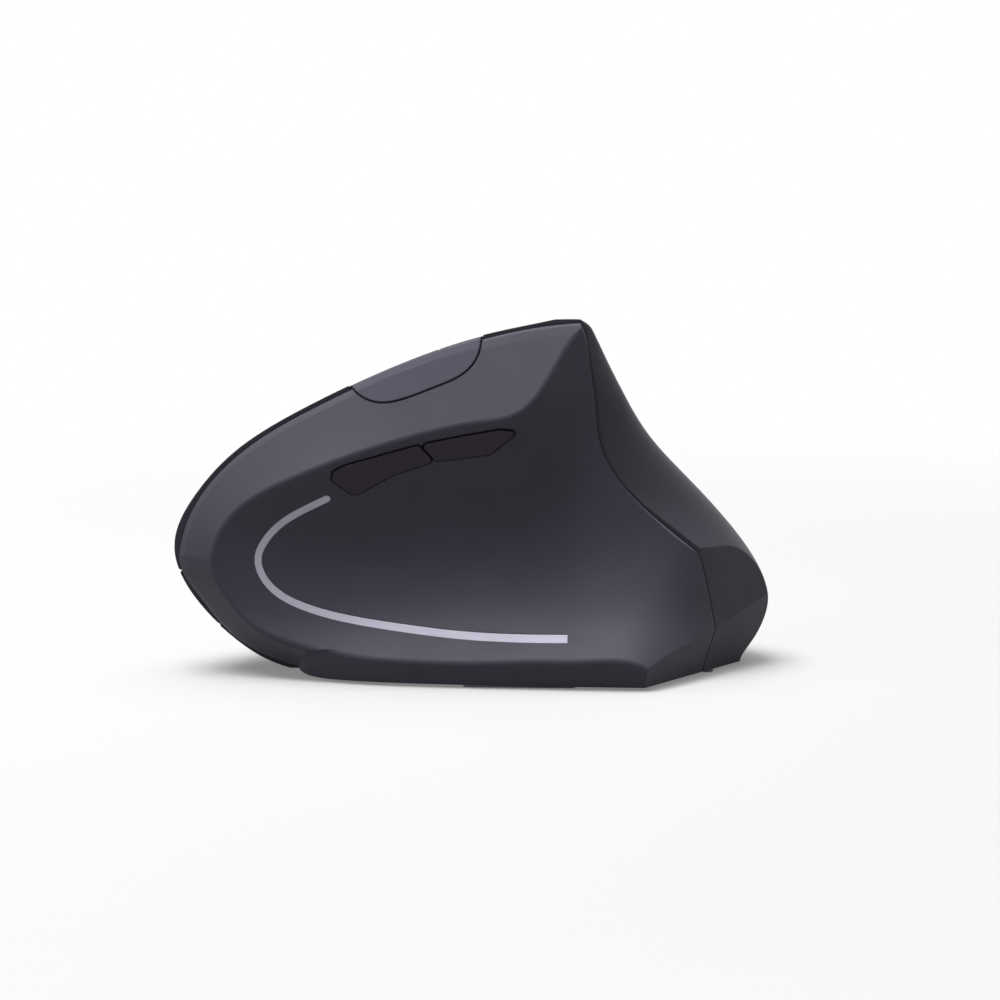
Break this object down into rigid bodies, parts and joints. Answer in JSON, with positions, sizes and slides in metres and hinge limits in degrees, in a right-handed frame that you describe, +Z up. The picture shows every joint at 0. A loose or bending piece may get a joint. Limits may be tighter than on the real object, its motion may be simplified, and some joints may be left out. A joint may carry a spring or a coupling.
{
  "type": "vertical computer mouse",
  "caption": "Right-hand vertical computer mouse with a thumb rest and wide foot, hinged click buttons, a scroll wheel, thumb buttons and battery bay.",
  "frame": {"origin": "on the desk under the middle of the bounding box", "axes": "+Z up; the nose with the scroll wheel points to -X; the thumb side faces -Y and the finger side +Y"},
  "size_m": [0.1198, 0.0628, 0.0714],
  "materials": {
    "soft_charcoal": "soft-touch paint on moulded ABS",
    "dark_shell": "soft-touch paint on moulded ABS",
    "accent_grey": "satin light grey",
    "button_black": "satin black",
    "dpi_grey": "satin dark grey",
    "wheel_rubber": "grooved rubber",
    "wheel_plastic": "satin",
    "steel": "drawn and plated",
    "inner_plastic": "as moulded",
    "encoder_green": "as moulded",
    "switch_black": "as moulded",
    "plunger_white": "as moulded",
    "board_green": "solder mask",
    "clear_lens": "clear moulded",
    "base_black": "fine spark texture",
    "cell_jacket": "plain printed film",
    "receiver_black": "as moulded",
    "slider_grey": "as moulded",
    "pad_white": "polished slip film"
  },
  "bodies": {
    "housing": {"thumb_shell": "soft_charcoal", "palm_shell": "dark_shell", "accent_strip": "accent_grey", "wheel_pivot_pin": "steel", "click_hinge_pins": "steel", "board_screws": "steel", "base_screws": "steel", "battery_contacts": "steel", "contact_springs": "steel", "wheel_bracket": "inner_plastic", "click_bracket": "inner_plastic", "left_switch": "switch_black", "right_switch": "switch_black", "wheel_switch": "switch_black", "forward_switch": "switch_black", "back_switch": "switch_black", "dpi_switch": "switch_black", "power_switch": "switch_black", "main_chip": "switch_black", "motion_sensor": "switch_black", "click_board": "board_green", "side_board": "board_green", "dpi_board": "board_green", "main_board": "board_green", "sensor_lens": "clear_lens", "base_plate": "base_black", "battery_cells": "cell_jacket", "glide_pads": "pad_white"},
    "left_button": {"left_click_button": "dark_shell"},
    "right_button": {"right_click_button": "dark_shell"},
    "forward_key": {"forward_button": "button_black"},
    "back_key": {"back_button": "button_black"},
    "dpi_key": {"dpi_button": "dpi_grey"},
    "cradle": {"wheel_cradle": "inner_plastic", "scroll_encoder": "encoder_green"},
    "wheel": {"wheel_tyre": "wheel_rubber", "wheel_hub": "wheel_plastic", "wheel_axle": "steel"},
    "left_stem": {"left_plunger": "plunger_white"},
    "right_stem": {"right_plunger": "plunger_white"},
    "wheel_stem": {"wheel_plunger": "plunger_white"},
    "forward_stem": {"forward_plunger": "plunger_white"},
    "back_stem": {"back_plunger": "plunger_white"},
    "dpi_stem": {"dpi_plunger": "plunger_white"},
    "door": {"battery_door": "base_black"},
    "receiver": {"usb_receiver": "receiver_black"},
    "power_knob": {"power_slider": "slider_grey"}
  },
  "joints": [
    {"name": "left_click", "type": "hinge", "parent": "housing", "child": "left_button", "pos_m": [0.00079, 0.00574, 0.04479], "axis": [-0.1664, -0.6297, 0.7588], "range_deg": [0, 0.45], "stiffness_Nm_per_rad": 1, "springref_deg": -1.72},
    {"name": "right_click", "type": "hinge", "parent": "housing", "child": "right_button", "pos_m": [0.00362, 0.01645, 0.03189], "axis": [-0.1664, -0.6297, 0.7588], "range_deg": [0, 0.45], "stiffness_Nm_per_rad": 1, "springref_deg": -1.72},
    {"name": "wheel_press", "type": "hinge", "parent": "housing", "child": "cradle", "pos_m": [-0.00996, 0.01051, 0.03453], "axis": [-0.1664, -0.6297, 0.7588], "range_deg": [0, 1], "stiffness_Nm_per_rad": 0.5, "springref_deg": -2.29},
    {"name": "wheel_spin", "type": "hinge", "parent": "cradle", "child": "wheel", "pos_m": [-0.02555, 0.00921, 0.03003], "axis": [0.1664, 0.6297, -0.7588], "continuous": true},
    {"name": "forward_press", "type": "slide", "parent": "housing", "child": "forward_key", "axis": [-0.0601, 0.9362, 0.3464], "range_m": [0, 0.0004], "stiffness_N_per_m": 400, "springref_m": -0.002},
    {"name": "back_press", "type": "slide", "parent": "housing", "child": "back_key", "axis": [-0.0601, 0.9362, 0.3464], "range_m": [0, 0.0004], "stiffness_N_per_m": 400, "springref_m": -0.002},
    {"name": "dpi_press", "type": "slide", "parent": "housing", "child": "dpi_key", "axis": [0.1868, 0.8363, -0.5155], "range_m": [0, 0.0004], "stiffness_N_per_m": 400, "springref_m": -0.002},
    {"name": "left_stem_travel", "type": "slide", "parent": "housing", "child": "left_stem", "axis": [0.4069, -0.7448, -0.5289], "range_m": [0, 0.0004]},
    {"name": "right_stem_travel", "type": "slide", "parent": "housing", "child": "right_stem", "axis": [0.4069, -0.7448, -0.5289], "range_m": [0, 0.0004]},
    {"name": "wheel_stem_travel", "type": "slide", "parent": "housing", "child": "wheel_stem", "axis": [0.4069, -0.7448, -0.5289], "range_m": [0, 0.0004]},
    {"name": "forward_stem_travel", "type": "slide", "parent": "housing", "child": "forward_stem", "axis": [-0.0601, 0.9362, 0.3464], "range_m": [0, 0.0004]},
    {"name": "back_stem_travel", "type": "slide", "parent": "housing", "child": "back_stem", "axis": [-0.0601, 0.9362, 0.3464], "range_m": [0, 0.0004]},
    {"name": "dpi_stem_travel", "type": "slide", "parent": "housing", "child": "dpi_stem", "axis": [0.1868, 0.8363, -0.5155], "range_m": [0, 0.0004]},
    {"name": "power_slide", "type": "slide", "parent": "housing", "child": "power_knob", "axis": [1, 0, 0], "range_m": [0, 0.0025]},
    {"name": "door_lift_off", "type": "slide", "parent": "housing", "child": "door", "axis": [0, 0, -1], "range_m": [0, 0.012]},
    {"name": "receiver_pull", "type": "slide", "parent": "housing", "child": "receiver", "axis": [0, 0, -1], "range_m": [0, 0.012]}
  ],
  "couplings": [
    {"joint": "left_stem_travel", "follows": "left_click", "m_per_rad": 0.0423},
    {"joint": "right_stem_travel", "follows": "right_click", "m_per_rad": 0.0225},
    {"joint": "wheel_stem_travel", "follows": "wheel_press", "m_per_rad": 0.0196},
    {"joint": "forward_stem_travel", "follows": "forward_press", "ratio": 1},
    {"joint": "back_stem_travel", "follows": "back_press", "ratio": 1},
    {"joint": "dpi_stem_travel", "follows": "dpi_press", "ratio": 1}
  ]
}
